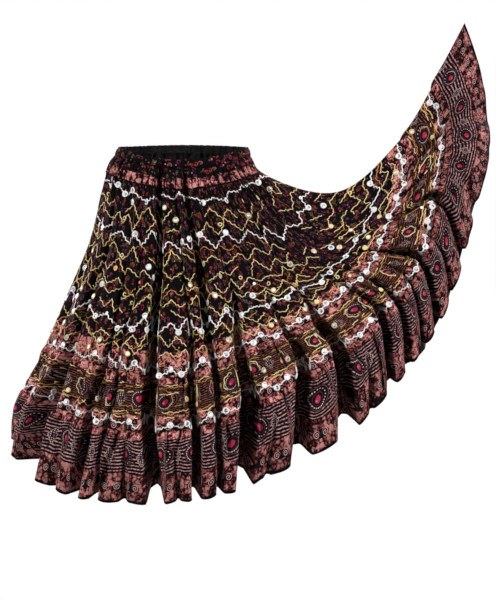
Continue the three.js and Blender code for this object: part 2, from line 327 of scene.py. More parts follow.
def gather_depths(tier, place, length):
    """Gathers, and among them fewer, deeper and longer tucks."""
    gathers = creases(tier, place, length, tier["gathers"], tier["depth"], tier["reach"], GATHER_WIDE)
    long = TUCK_LENGTHEN * tier["reach"]
    return gathers + creases(tier, place, length, tier["tucks"], tier["tuck_depth"], long, TUCK_WIDE)


def creases(tier, place, length, count, deep, long, wide_share):
    """Narrow creases of uneven depth and reach that run down from the seam above."""
    centres = (np.arange(count) + rng.uniform(-0.3, 0.3, count)) / count
    depths = deep * rng.uniform(0.35, 1.0, count)
    reaches = long * rng.uniform(0.6, 1.5, count) ** 2
    half_widths = wide_share * rng.uniform(0.65, 1.35, count) / count
    leans = rng.uniform(-0.5, 0.5, count) / count
    below = length - tier["top"]
    out = np.zeros((len(length), len(place)))
    for centre, depth, reach, half_width, lean in zip(centres, depths, reaches, half_widths, leans):
        gap = place[None, :] - centre - lean * below[:, None] / 100
        gap = gap - np.round(gap)
        wide = half_width * (1 + below[:, None] / 160)
        near = np.abs(gap) < 3 * wide
        crease = depth * np.exp(-np.abs(gap / wide) ** 1.6) * np.exp(-(below[:, None] / reach) ** 2)
        out -= np.where(near, crease, 0)
    return out


def ripple(place, waves, sway, seed):
    """Slow uneven waves round the skirt, as a sum of a few sines."""
    steps = np.random.default_rng(seed).uniform(0, TAU, 3)
    return (
        np.sin(TAU * waves * place + steps[0])
        + sway * np.sin(TAU * (waves // 2 + 3) * place + steps[1])
        + 0.5 * sway * np.sin(TAU * (2 * waves + 5) * place + steps[2])
    )


CRUMPLE = {
    "waistband": 0.2, "yoke": 0.6, "embroidered_tier": 1.3, "upper_flounce": 1.8, "hem_flounce": 2.4,
}
CRUMPLE_WAVES, CRUMPLE_SEED, CRUMPLE_FROM = 14, 12, 40
SEAM_STITCHES, SEAM_HELD, SWELL_LENGTH = 3, 8, 60
TIP_SHARE = 0.05


def crumple(place, below):
    """Slanting folds and dents of many sizes, as a sum of waves that close round the skirt."""
    draw = np.random.default_rng(CRUMPLE_SEED)
    out = 0
    for _ in range(CRUMPLE_WAVES):
        around, slant, high = draw.integers(18, 95), draw.normal(0, 0.022), draw.uniform(0.4, 1.0)
        turns = TAU * around * place[None, :] + slant * below + draw.uniform(0, TAU)
        out = out + high * np.sin(turns)
    return out / math.sqrt(CRUMPLE_WAVES / 3)


SEAM_ROOM, SEAM_FADE, SEAM_SMOOTH = 0.1, 16, 5


class Sheet:
    """One tier as a closed grid of points, with what is needed to place things on it."""

    def __init__(self, tier, above=None):
        self.tier = tier
        fine = np.linspace(0, 1, 4001)
        at_foot = np.full(len(fine), float(tier["foot"]))
        place = np.arange(tier["columns"]) / tier["columns"]
        even = (way_round(folded(fine, at_foot)) + way_round(plain(fine, at_foot))) / 2
        self.shares = np.interp(place, even, fine)
        down = rows_down(tier["rows"])
        ends = np.full(len(self.shares), float(tier["foot"]))
        if tier["foot"] == HEM:
            ends = hem_length(self.shares)
        lengths = tier["top"] + down[:, None] * (ends - tier["top"])[None, :]
        self.lengths = tier["top"] + down * (tier["foot"] - tier["top"])
        shares = np.broadcast_to(self.shares, lengths.shape)
        points = folded(shares.ravel(), lengths.ravel()).reshape(*lengths.shape, 3)
        crest = fold_at(shares.ravel(), lengths.ravel())[0].reshape(lengths.shape)
        from_tip = np.minimum(self.shares, 1 - self.shares)
        room = (0.35 + 0.65 * crest) * ease(np.clip(from_tip / TIP_SHARE, 0.15, 1))
        outward = plain_normal(shares.ravel(), lengths.ravel()).reshape(points.shape)
        self.points = points + outward * (self.detail(place, self.lengths, room) + tier["inset"])[:, :, None]
        if above:
            self.points = self.sewn_to(above)
        self.normals = grid_normals(self.points)
        self.arc = arc_of(self.points)[-1]

    def sewn_to(self, above):
        """The points with the top edge laid inside the tier above, fading back to its own form below."""
        reach = np.minimum(self.lengths, above.tier["foot"])
        shares = np.tile(self.shares, len(reach))
        lengths = np.repeat(reach, len(self.shares))
        seam, normals = above.at(shares, lengths)
        normals = normals.reshape(self.points.shape)
        beside = sum(np.roll(normals, step, axis=1) for step in range(-SEAM_SMOOTH, SEAM_SMOOTH + 1))
        inward = unit(beside) * ((self.tier["thickness"] + above.tier["thickness"]) / 2 + SEAM_ROOM)
        own = self.between(shares, lengths)(self.points)
        shift = (seam - own).reshape(self.points.shape) - inward
        return self.points + shift * np.exp(-(((self.lengths - reach) / SEAM_FADE) ** 2))[:, None, None]

    def detail(self, place, length, room):
        """Gathers, puffs and crumples, less where there is no room: in a valley and at the tip."""
        tier = self.tier
        below = (length - tier["top"])[:, None]
        run = tier["foot"] - tier["top"]
        out = gather_depths(tier, place, length) * room
        out = out * (1 - np.exp(-(below + SEAM_STITCHES) / SEAM_HELD))
        out = out + tier["swell"] * (1 - np.exp(-below / SEAM_HELD)) * np.exp(-below / SWELL_LENGTH)
        out = out + CRUMPLE[tier["name"]] * crumple(place, below) * np.clip(below / CRUMPLE_FROM, 0, 1) * room
        if tier["name"] == "hem_flounce":
            flare = np.clip(below / run, 0, 1) ** 2
            out = out + flare * room * (2.6 * ripple(place, 74, 0.9, 5) + 1.6 * ripple(place, 131, 0.6, 6))
        if tier["name"] == "waistband":
            out = out + 1.5 * bump(below / run) - 0.6
        return out

    def between(self, share, length):
        """What takes a value from the grid at any share and length."""
        share = share - np.floor(share)
        loop = np.append(self.shares, 1.0)
        column = np.interp(share, loop, np.arange(len(loop)))
        row = np.interp(length, self.lengths, np.arange(len(self.lengths)))
        i = np.clip(np.floor(column).astype(int), 0, len(self.shares) - 1)
        j = np.clip(np.floor(row).astype(int), 0, len(self.lengths) - 2)
        a, b = (column - i)[:, None], (row - j)[:, None]
        right = (i + 1) % len(self.shares)

        def blend(grid):
            upper = grid[j, i] * (1 - a) + grid[j, right] * a
            lower = grid[j + 1, i] * (1 - a) + grid[j + 1, right] * a
            return upper * (1 - b) + lower * b

        return blend

    def at(self, share, length):
        """The point and normal of the cloth at any share and length."""
        blend = self.between(share, length)
        return blend(self.points), unit(blend(self.normals))

    def share_at_arc(self, distance):
        """The share that lies this far round the foot of the tier."""
        return np.interp(distance, self.arc, np.append(self.shares, 1.0))


# Meshes
def placed(name, data):
    thing = bpy.data.objects.new(name, data)
    bpy.context.collection.objects.link(thing)
    return thing


def mesh_from(name, vertices, faces, materials, face_materials=None, uv=None):
    """A smooth mesh of quads or triangles, from millimetres; uv has one pair for each face corner."""
    faces = np.asarray(faces, np.int32)
    mesh = bpy.data.meshes.new(name)
    mesh.vertices.add(len(vertices))
    mesh.vertices.foreach_set("co", (np.asarray(vertices) * MM).astype(np.float32).ravel())
    mesh.loops.add(faces.size)
    mesh.loops.foreach_set("vertex_index", faces.ravel())
    mesh.polygons.add(len(faces))
    mesh.polygons.foreach_set("loop_start", np.arange(len(faces), dtype=np.int32) * faces.shape[1])
    mesh.polygons.foreach_set("use_smooth", np.ones(len(faces), bool))
    for material in materials:
        mesh.materials.append(material)
    if face_materials is not None:
        mesh.polygons.foreach_set("material_index", np.asarray(face_materials, np.int32))
    if uv is not None:
        layer = mesh.uv_layers.new(name="cloth")
        layer.data.foreach_set("uv", np.asarray(uv, np.float32).ravel())
    mesh.update(calc_edges=True)
    mesh.validate()
    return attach(placed(name, mesh), "root")


def shell(sheet, outer_material, inner_material):
    """The sheet as thin cloth with an outer face, an inner face and its two rims."""
    tier = sheet.tier
    rows, columns = sheet.points.shape[:2]
    half = sheet.normals * tier["thickness"] / 2
    vertices = np.concatenate([(sheet.points + half).reshape(-1, 3), (sheet.points - half).reshape(-1, 3)])
    j, i = np.meshgrid(np.arange(rows - 1), np.arange(columns), indexing="ij")
    right = (i + 1) % columns
    a, b = j * columns + i, j * columns + right
    c, d = b + columns, a + columns
    back = rows * columns
    outer = np.stack([a, b, c, d], -1).reshape(-1, 4)
    inner = np.stack([a, d, c, b], -1).reshape(-1, 4) + back
    i = np.arange(columns)
    right = (i + 1) % columns
    top = np.stack([i, i + back, right + back, right], -1)
    foot = (rows - 1) * columns
    bottom = np.stack([foot + i, foot + right, foot + right + back, foot + i + back], -1)
    faces = np.concatenate([outer, inner, top, bottom])
    u = sheet.arc * MM
    v = (sheet.lengths - tier["top"]) * MM
    left_u = np.broadcast_to(u[:-1], (rows - 1, columns))
    right_u = np.broadcast_to(u[1:], (rows - 1, columns))
    upper = np.broadcast_to(v[:-1, None], left_u.shape)
    lower = np.broadcast_to(v[1:, None], left_u.shape)
    outer_uv = np.stack([left_u, upper, right_u, upper, right_u, lower, left_u, lower], -1).reshape(-1, 4, 2)
    inner_uv = outer_uv[:, [0, 3, 2, 1]]
    rim = np.stack([u[:-1], u[1:]], -1)

    def rim_uv(height, order):
        pairs = [np.stack([rim[:, side], np.full(columns, height)], -1) for side in order]
        return np.stack(pairs, 1)

    uv = np.concatenate([outer_uv, inner_uv, rim_uv(v[0], (0, 0, 1, 1)), rim_uv(v[-1], (0, 1, 1, 0))])
    slots = np.concatenate([np.zeros(len(outer)), np.ones(len(inner)), np.zeros(2 * columns)])
    return mesh_from(tier["name"] + "_cloth", vertices, faces, [outer_material, inner_material], slots, uv)


CORD_SIDES, DISC_SIDES = 4, 12


def cords(name, paths, half_width, half_height, material, closed=False):
    """Raised threads: a flattened tube along each (points, normals) path, as one mesh."""
    vertices, faces, uv, start = [], [], [], 0
    sides = CORD_SIDES
    turn = TAU * np.arange(sides) / sides
    for points, normals in paths:
        count = len(points)
        tangent = np.roll(points, -1, 0) - np.roll(points, 1, 0) if closed else np.gradient(points, axis=0)
        side = unit(np.cross(normals, unit(tangent)))
        ring = (
            side[:, None, :] * (half_width * np.cos(turn))[None, :, None]
            + normals[:, None, :] * (half_height * np.sin(turn))[None, :, None]
        )
        vertices.append((points[:, None, :] + ring).reshape(-1, 3))
        run = way_along(points) * MM
        spans = count if closed else count - 1
        j, k = np.meshgrid(np.arange(spans), np.arange(sides), indexing="ij")
        below, beside = (j + 1) % count, (k + 1) % sides
        quads = np.stack([j * sides + k, j * sides + beside, below * sides + beside, below * sides + k], -1)
        faces.append(quads.reshape(-1, 4) + start)
        ends = run[np.minimum(j + 1, count - 1)]
        low, high = k / sides, (k + 1) / sides
        pairs = np.stack([run[j], low, run[j], high, ends, high, ends, low], -1)
        uv.append(pairs.reshape(-1, 4, 2))
        if not closed:
            last = (count - 1) * sides
            faces.append(np.array([[3, 2, 1, 0], [last, last + 1, last + 2, last + 3]]) + start)
            uv.append(np.zeros((2, 4, 2)))
        start += count * sides
    uv = np.concatenate(uv)
    return mesh_from(name, np.concatenate(vertices), np.concatenate(faces), [material], uv=uv)


def discs(name, points, normals, radii, rise, material):
    """Small slightly domed discs, as one mesh."""
    sides = DISC_SIDES
    turn = TAU * np.arange(sides) / sides
    vertices, faces = [], []
    for k, (point, normal, radius) in enumerate(zip(points, normals, radii)):
        across = unit(np.cross(normal, (0.3, 0.2, 1.0)))
        along = np.cross(normal, across)
        rim = across * np.cos(turn)[:, None] + along * np.sin(turn)[:, None]
        lifted = point + normal * rise
        vertices += [
            point + normal * 0.2 + rim * radius,
            lifted + rim * radius,
            lifted + normal * 0.35 + rim * radius * 0.5,
            lifted[None] + normal * 0.5,
            point[None] + normal * 0.1,
        ]
        base = k * (3 * sides + 2)
        for s in range(sides):
            n = (s + 1) % sides
            for low, high in ((0, sides), (sides, 2 * sides)):
                faces.append((base + low + s, base + low + n, base + high + n))
                faces.append((base + low + s, base + high + n, base + high + s))
            faces.append((base + 2 * sides + s, base + 2 * sides + n, base + 3 * sides))
            faces.append((base + n, base + s, base + 3 * sides + 1))
    return mesh_from(name, np.concatenate(vertices), faces, [material])


# Materials, as sums of plain nodes
class Net:
    def __init__(self, name):
        self.material = bpy.data.materials.new(name)
        self.material.use_nodes = True
        self.tree = self.material.node_tree
        self.shader = self.tree.nodes["Principled BSDF"]

    def node(self, kind, **settings):
        node = self.tree.nodes.new(kind)
        for key, value in settings.items():
            setattr(node, key, value)
        return node

    def feed(self, target, value):
        if isinstance(value, Num):
            value = value.socket
        if isinstance(value, bpy.types.NodeSocket):
            self.tree.links.new(value, target)
        elif hasattr(target.default_value, "__len__") and len(target.default_value) == 4:
            target.default_value = (*value, 1.0)
        else:
            target.default_value = value

    def math(self, operation, *values):
        node = self.node("ShaderNodeMath", operation=operation)
        for target, value in zip(node.inputs, values):
            self.feed(target, value)
        return Num(self, node.outputs[0])

    def smooth(self, value, low, high):
        node = self.node("ShaderNodeMapRange", interpolation_type="SMOOTHSTEP")
        for target, number in zip(node.inputs, (value, low, high)):
            self.feed(target, number)
        return Num(self, node.outputs[0])

    def fade(self, value, low, high):
        """1 below the low value and 0 above the high one."""
        return 1 - self.smooth(value, low, high)

    def vector(self, x, y):
        node = self.node("ShaderNodeCombineXYZ")
        self.feed(node.inputs[0], x)
        self.feed(node.inputs[1], y)
        return node.outputs[0]

    def noise(self, x, y, scale, detail=3.0, rough=0.55):
        node = self.node("ShaderNodeTexNoise", noise_dimensions="2D")
        self.feed(node.inputs["Vector"], self.vector(x, y))
        self.feed(node.inputs["Scale"], scale)
        self.feed(node.inputs["Detail"], detail)
        self.feed(node.inputs["Roughness"], rough)
        return Num(self, node.outputs["Fac" if "Fac" in node.outputs else "Factor"])

    def voronoi(self, x, y, scale, feature="F1"):
        node = self.node("ShaderNodeTexVoronoi", voronoi_dimensions="2D", feature=feature)
        self.feed(node.inputs["Vector"], self.vector(x, y))
        self.feed(node.inputs["Scale"], scale)
        return node

    def mix(self, amount, one, two):
        node = self.node("ShaderNodeMix", data_type="RGBA")
        self.feed(node.inputs[0], amount)
        self.feed(node.inputs[6], one)
        self.feed(node.inputs[7], two)
        return node.outputs[2]

    def cloth_uv(self):
        uv = self.node("ShaderNodeUVMap", uv_map="cloth")
        split = self.node("ShaderNodeSeparateXYZ")
        self.tree.links.new(uv.outputs[0], split.inputs[0])
        return Num(self, split.outputs[0]), Num(self, split.outputs[1])

    def split(self, kind, source):
        """The three numbers of a vector or colour."""
        node = self.node(kind)
        self.tree.links.new(source, node.inputs[0])
        return [Num(self, node.outputs[k]) for k in range(3)]

    def raise_by(self, height, distance, strength=1.0):
        node = self.node("ShaderNodeBump")
        self.feed(node.inputs["Height"], height)
        self.feed(node.inputs["Distance"], distance)
        self.feed(node.inputs["Strength"], strength)
        self.tree.links.new(node.outputs[0], self.shader.inputs["Normal"])

    def finish(self, colour, **inputs):
        self.feed(self.shader.inputs["Base Color"], colour)
        for key, value in inputs.items():
            self.feed(self.shader.inputs[key], value)
        return self.material


class Num:
    """A number in a node tree, so that a pattern can be written as a sum."""

    def __init__(self, net, socket):
        self.net, self.socket = net, socket

    def __add__(self, other):
        return self.net.math("ADD", self, other)

    def __sub__(self, other):
        return self.net.math("SUBTRACT", self, other)

    def __rsub__(self, other):
        return self.net.math("SUBTRACT", other, self)

    def __mul__(self, other):
        return self.net.math("MULTIPLY", self, other)

    def __truediv__(self, other):
        return self.net.math("DIVIDE", self, other)

    __radd__, __rmul__ = __add__, __mul__

    def do(self, operation, *others):
        return self.net.math(operation, self, *others)

    def centred(self):
        """How far the number is past the middle of its whole step, from -0.5 to 0.5."""
        return self.do("FRACT") - 0.5

    def between(self, low, high, soft):
        """1 between two values, with soft edges."""
        above = self.net.smooth(self, low - soft, low + soft)
        return above * self.net.fade(self, high - soft, high + soft)


def radius_of(x, y):
    return (x * x + y * y).do("SQRT")


# Colours, as linear values
BLACK = (0.0035, 0.0028, 0.0034)
INK = (0.0065, 0.0032, 0.0045)
ROSE = (0.335, 0.096, 0.092)
ROSE_PALE = (0.64, 0.29, 0.265)
ROSE_DEEP = (0.15, 0.028, 0.03)
ROSE_BROWN = (0.185, 0.062, 0.05)
MAUVE = (0.16, 0.035, 0.085)
CRIMSON = (0.36, 0.026, 0.06)
RUST = (0.33, 0.075, 0.028)
OLIVE = (0.15, 0.13, 0.045)
SLATE = (0.10, 0.11, 0.17)
LINE = (0.52, 0.30, 0.29)
LINE_DIM = (0.13, 0.048, 0.056)
DOT = (0.62, 0.50, 0.46)
CHARCOAL = (0.0105, 0.0105, 0.011)

# Print sizes in metres
PETAL_SPACING, BLOCK_WIDE, YOKE_BLOCK = 0.0115, 0.031, 0.02
SPRIG_SPACING, SPRIG_RADIUS = 0.0185, 0.0066
SPOT_SPACING, DOT_PITCH, THREAD_PITCH = 0.0098, 0.0047, 0.0011
SCROLL_REPEAT, SCROLL_HALF_WIDTH, SCROLL_HALF_HEIGHT = 0.063, 0.0245, 0.0108
SCROLL_RADIUS, SCROLL_LINE = 0.0088, 0.0050
TIP_STRIPES, TWIST_LENGTH = 0.3, 0.0045
HOOK_EDGE, SPRIG_HEART, SPOT_EDGE = (0.0009, 0.0019), (0.0013, 0.0023), (0.0011, 0.0024)
SPECK_EDGE, LOZENGE_EDGE, LOZENGE_LINE = (0.0009, 0.0015), (0.021, 0.022), (0.0215, 0.0232)
LOZENGE_MIDDLE, LOZENGE_HEART = (0.008, 0.009), (0.0045, 0.0055)

# Where the rings of a paisley lie, as shares of its reach, and the edge of a stripe, as a share of its pitch
HALO_EDGE, OUTLINE, DOT_RING = (1.2, 1.26), (1.08, 1.15), 0.86
MAUVE_RING, HEART_EDGE = (0.56, 0.61), (0.31, 0.38)
DOT_COUNT, DOT_SIZE = 22, 0.0019
STRIPE_EDGE = (0.13, 0.21)


def rose_batik(net, u, v, block_wide, block_gap):
    """Rose petals rubbed and broken on a dark ground, in uneven blocks with dark gaps between them."""
    wobble = (net.noise(u, v, 100, 2) - 0.5) * 0.014
    shift = (net.noise(u + 5.0, v, 100, 2) - 0.5) * 0.014
    warped_u, warped_v = u + wobble, v + shift
    cells = net.voronoi(warped_u, warped_v, 1 / PETAL_SPACING, "DISTANCE_TO_EDGE")
    petals = net.voronoi(warped_u, warped_v, 1 / PETAL_SPACING)
    pick = net.split("ShaderNodeSeparateColor", petals.outputs["Color"])
    fine = net.noise(u, v, 210, 3, 0.65)
    tone = net.noise(u, v, 30, 3)
    level = Num(net, cells.outputs["Distance"]) * 1.2 + (fine - 0.5) * 0.9 + (tone - 0.5) * 1.5
    level = level + (pick[0] - 0.78) * 0.45
    block = ((u + wobble * 1.3) / block_wide).centred()
    level = level - net.smooth(block.do("ABSOLUTE"), 0.3, 0.5) * block_gap
    colour = net.mix(net.smooth(level, -0.12, 0.03), INK, ROSE_DEEP)
    brown = net.smooth(net.noise(u, v + 3.0, 13, 2), 0.42, 0.62) * 0.7
    colour = net.mix(net.smooth(level, 0.0, 0.16), colour, net.mix(brown, ROSE, ROSE_BROWN))
    return net.mix(net.smooth(level, 0.16, 0.36) * (1 - brown * 0.7), colour, ROSE_PALE)


def stripes(net, u, v, line, dim, ground, pitch):
    """Hand-drawn lines along the cloth, drawn wider apart by the lifted tip."""
    wander = (net.noise(u, v, 30, 2) - 0.5) * 0.005
    wider = (u * u * -1.2).do("EXPONENT") * TIP_STRIPES + 1
    along = ((v + wander) / (wider * pitch)).centred()
    uneven = net.noise(u, v, 130, 3)
    band = net.fade(along.do("ABSOLUTE"), *STRIPE_EDGE)
    tone = net.mix(net.smooth(uneven, 0.4, 0.6), dim, line)
    return net.mix(band * net.smooth(uneven, 0.3, 0.4), ground, tone)


def dots_along(net, angle, radial, r, count, size):
    """A ring of dots, where radial is the distance from the ring's line."""
    beside = (angle * (count / TAU)).centred() * (TAU / count) * r
    return net.fade(radius_of(beside, radial), size * 0.6, size)


def paisley(net, x, y, size, ground, colour):
    """A paisley round a crimson heart, ringed with dots, over what is already there."""
    r = radius_of(x, y)
    angle = x.do("ARCTAN2", y) + r * 16
    lobe = (angle.do("COSINE") * 0.5 + 0.5).do("POWER", 5.0)
    reach = lobe * (0.75 * size) + size
    f = r / reach
    colour = net.mix(net.fade(f, *HALO_EDGE), colour, ground)
    colour = net.mix(f.between(*OUTLINE, 0.02), colour, LINE_DIM)
    colour = net.mix(dots_along(net, angle, (f - DOT_RING) * reach, r, DOT_COUNT, DOT_SIZE), colour, DOT)
    colour = net.mix(f.between(*MAUVE_RING, 0.03) * 0.6, colour, MAUVE)
    heart = net.fade(f + (net.noise(x, y, 300, 2) - 0.5) * 0.16, *HEART_EDGE)
    colour = net.mix(heart, colour, CRIMSON)
    # A pale spot on the heart, off its centre: a painted highlight.
    painted_highlight = net.fade(radius_of(x - size * 0.1, y + size * 0.12), size * 0.05, size * 0.2)
    return net.mix(painted_highlight * 0.5, colour, ROSE_PALE)


def medallions(net, u, v, middle, style):
    """Stripes that bend round a row of paisleys, with dotted lozenges between them."""
    repeat, ground = style["repeat"], style["ground"]
    cell = u / repeat
    flip = cell.do("FLOOR").do("FLOORED_MODULO", 2.0) * 2 - 1
    x = cell.centred() * repeat
    tall = v - middle
    y = tall * flip + 0.005
    r = radius_of(x, y)
    bend = (r * r * -1100.0).do("EXPONENT") * 0.5
    colour = stripes(net, u, tall * (1 - bend), style["line"], style["dim"], ground, style["pitch"])
    half = (cell + 0.5).centred() * repeat
    lozenge = half.do("ABSOLUTE") * 1.6 + tall.do("ABSOLUTE")
    px = (half / DOT_PITCH).centred() * DOT_PITCH
    py = (tall / DOT_PITCH).centred() * DOT_PITCH
    speck = net.fade(radius_of(px, py), *SPECK_EDGE)
    inside = net.fade(lozenge, *LOZENGE_EDGE)
    colour = net.mix(inside, colour, ground)
    colour = net.mix(lozenge.between(*LOZENGE_LINE, 0.0004), colour, style["line"])
    colour = net.mix(speck * inside * net.smooth(lozenge, *LOZENGE_MIDDLE), colour, DOT)
    colour = net.mix(net.fade(lozenge, *LOZENGE_HEART), colour, MAUVE)
    turned_x = x * 0.86 + y * 0.5
    turned_y = y * 0.86 - x * 0.5
    return paisley(net, turned_x, turned_y, style["size"], ground, colour)


def scrolls(net, u, v, middle, colour):
    """Pairs of small scrolls in dark ovals."""
    x = (u / SCROLL_REPEAT).centred() * SCROLL_REPEAT
    y = v - middle
    edge = radius_of(x / SCROLL_HALF_WIDTH, y / SCROLL_HALF_HEIGHT)
    colour = net.mix(net.fade(edge, 0.92, 1.04), colour, INK)
    beside = x.do("ABSOLUTE") - SCROLL_HALF_WIDTH / 2
    r = radius_of(beside, y)
    turn = y.do("ARCTAN2", beside) / TAU
    line = (r / SCROLL_LINE + turn).centred().do("ABSOLUTE")
    drawn = net.fade(line, 0.12, 0.22) * net.fade(r, SCROLL_RADIUS, SCROLL_RADIUS * 1.1)
    return net.mix(drawn, colour, LINE)


def one_of(net, number, first, steps):
    """One of a few colours by a random number, where each step is (from this number up, colour)."""
    colour = first
    for start, following in steps:
        colour = net.mix(net.smooth(number, start, start + 0.02), colour, following)
    return colour


def sprigs(net, u, v, colour):
    """Small printed sprigs: hooked crimson, mauve and rust marks with dots between."""
    cells = net.voronoi(u, v, 1 / SPRIG_SPACING)
    place = net.split("ShaderNodeSeparateXYZ", cells.outputs["Position"])
    pick = net.split("ShaderNodeSeparateColor", cells.outputs["Color"])
    x, y = u - place[0], v - place[1]
    r = radius_of(x, y)
    turn = (y.do("ARCTAN2", x) / TAU + pick[0] * 3).do("FRACT")
    shown = net.smooth(pick[2], 0.2, 0.24)
    hook = (turn * 0.5 + 0.5) * (pick[2] * 0.35 + 0.75) * SPRIG_RADIUS
    line = net.fade((r - hook).do("ABSOLUTE"), *HOOK_EDGE)
    drawn = line * turn.between(0.12, 0.9, 0.04)
    heart = net.fade(r, *SPRIG_HEART)
    # Here the mask is wear of the print: a noise that breaks the sprigs, with no shade in it.
    worn = net.smooth(net.noise(u, v, 240, 2), 0.36, 0.5)
    hue = one_of(net, pick[1], CRIMSON, ((0.2, MAUVE), (0.6, OLIVE), (0.78, RUST)))
    hue = one_of(net, pick[0], hue, ((0.78, ROSE),))
    colour = net.mix((drawn + heart).do("MINIMUM", 1.0) * shown * worn * 0.72, colour, hue)
    spots = net.voronoi(u + 0.3, v + 0.1, 1 / SPOT_SPACING)
    spot_pick = net.split("ShaderNodeSeparateColor", spots.outputs["Color"])
    spot = net.fade(Num(net, spots.outputs["Distance"]) * SPOT_SPACING, *SPOT_EDGE)
    tint = one_of(net, spot_pick[1], RUST, ((0.3, SLATE), (0.55, OLIVE), (0.78, ROSE_PALE)))
    return net.mix(spot * net.smooth(spot_pick[0], 0.8, 0.83), colour, tint)


COTTON_SHINE = {"Roughness": 0.95, "Specular IOR Level": 0.05}


def cotton(net, u, v, colour):
    """Cotton of a colour, with its threads and small crumples raised."""
    threads = (u * (TAU / THREAD_PITCH)).do("SINE") * 0.5 + (v * (TAU / THREAD_PITCH)).do("SINE") * 0.5
    net.raise_by(threads * 0.1 + net.noise(u, v, 38, 4), 0.0013, 0.7)
    return net.finish(colour, **COTTON_SHINE)


def print_material(name, bands, block_wide=BLOCK_WIDE, block_gap=0.2):
    """Printed cotton. Each band is (from, to, kind, settings) in metres below the tier's top."""
    net = Net(name)
    u, v = net.cloth_uv()
    dark = net.mix(net.smooth(net.noise(u, v, 90, 3), 0.45, 0.75), BLACK, INK)
    rose = rose_batik(net, u, v, block_wide, block_gap)
    colour = dark
    wander = (net.noise(u, v, 45, 2) - 0.5) * 0.012
    for low, high, kind, style in bands:
        # Where a band gives an amount, the rose is mixed toward ink by it: painted shade, the same all round
        # the bottom of the skirt.
        worn = net.mix(style["worn"], rose, INK) if "worn" in style else rose
        if kind == "rose":
            drawn = worn
        elif kind == "scroll":
            drawn = scrolls(net, u, v, (low + high) / 2, worn)
        elif kind == "field":
            drawn = sprigs(net, u, v, dark)
        else:
            drawn = medallions(net, u, v, (low + high) / 2, style)
        colour = net.mix((v + wander).between(low, high, 0.0006), colour, drawn)
    return cotton(net, u, v, colour)


def plain_cotton(name, colour_one, colour_two):
    net = Net(name)
    u, v = net.cloth_uv()
    return cotton(net, u, v, net.mix(net.smooth(net.noise(u, v, 35, 4), 0.35, 0.65), colour_one, colour_two))


def thread_material(name, colour_one, colour_two):
    """Twisted cotton or silk thread, with the twist raised."""
    net = Net(name)
    along, around = net.cloth_uv()
    twist = (along / TWIST_LENGTH + around).centred().do("ABSOLUTE") * 2
    colour = net.mix(net.smooth(net.noise(along, around, 24, 2), 0.35, 0.65), colour_one, colour_two)
    net.raise_by(twist, 0.0006, 0.7)
    return net.finish(colour, **{"Roughness": 0.65, "Specular IOR Level": 0.35, "Sheen Weight": 0.1})


def mirror_material():
    net = Net("mirror_glass")
    # The glass's colour runs from dark grey to near white by a noise cloud over space, so some mirrors look
    # bright and some dark: painted reflection.
    place = net.node("ShaderNodeNewGeometry").outputs["Position"]
    cloud = net.node("ShaderNodeTexNoise")
    net.tree.links.new(place, cloud.inputs["Vector"])
    net.feed(cloud.inputs["Scale"], 90.0)
    painted_reflection = net.smooth(Num(net, cloud.outputs[0]), 0.4, 0.56)
    tone = net.mix(painted_reflection, (0.20, 0.22, 0.25), (0.92, 0.94, 0.95))
    return net.finish(tone, **{"Metallic": 0.8, "Roughness": 0.34})


def sequin_material(name, colour):
    return Net(name).finish(colour, **{"Roughness": 0.3, "Specular IOR Level": 0.6})


# The cloth
sheets, above = {}, None
for tier in TIERS:
    above = Sheet(tier, above)
    sheets[tier["name"]] = above


def whole_repeat(sheet, wanted):
    """The pattern repeat nearest to the wanted one that fits a whole even number of times."""
    total = sheet.arc[-1] * MM
    return total / (2 * round(total / wanted / 2))


PRINTS = {
    "waistband": [(-1, 1, "field", {})],
    "yoke": [(-1, 0.035, "field", {}), (0.035, 0.062, "rose", {})],
    "embroidered_tier": [
        (-1, 0.400, "field", {}),
        (0.400, 0.431, "rose", {}),
        (0.431, 0.456, "scroll", {}),
    ],
    "upper_flounce": [
        (-1, 0.026, "rose", {}),
        (0.026, 0.118, "medallions", {
            "line": (0.24, 0.092, 0.066), "dim": (0.075, 0.024, 0.018), "ground": (0.0065, 0.0035, 0.004),
            "size": 0.0205, "pitch": 0.0064, "repeat": whole_repeat(sheets["upper_flounce"], 0.118),
        }),
        (0.118, 0.139, "rose", {}),
        (0.139, 0.163, "scroll", {}),
    ],
    "hem_flounce": [
        (-1, 0.026, "rose", {}),
        (0.026, 0.118, "medallions", {
            "line": LINE, "dim": LINE_DIM, "ground": INK,
            "size": 0.0205, "pitch": 0.0087, "repeat": whole_repeat(sheets["hem_flounce"], 0.135),
        }),
        # The amounts below mix the rose toward ink in the hem flounce's lower bands: painted shade.
        (0.118, 0.142, "rose", {"worn": 0.28}),
        (0.142, 0.164, "scroll", {"worn": 0.25}),
        (0.164, 0.187, "rose", {"worn": 0.3}),
    ],
}

inside_cotton = plain_cotton("reverse_cotton", CHARCOAL, (0.017, 0.0165, 0.0175))
for name, sheet in sheets.items():
    blocks = (YOKE_BLOCK, 0.8) if name == "yoke" else ()
    outside = print_material(name + "_print_cotton", PRINTS[name], *blocks)
    piece = shell(sheet, outside, inside_cotton)

HALVES = ("_front", "_back")
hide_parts("waistband")
for name in ("yoke", "embroidered_tier", "upper_flounce", "hem_flounce"):
    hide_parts(*(name + half for half in HALVES))
    name + "_print"


# Embroidery
def ring_share(sheet, length):
    """Shares against the distance round the cloth at one length."""
    shares = np.append(sheet.shares, 1.0)
    points, _ = sheet.at(shares[:-1], np.full(len(shares) - 1, float(length)))
    return shares, arc_of(points[None])[0]


# By the lifted side the rows lie flatter, and the coloured ones of tier one are broken
LIFTED_SHARE, LIFTED_REACH, LIFTED_FLATTER = 0.09, 0.06, 0.35
SWAYS_ROUND, PATH_STEP, WIGGLE_LENGTH, BOWED = 5, 4.4, 13, 2.5


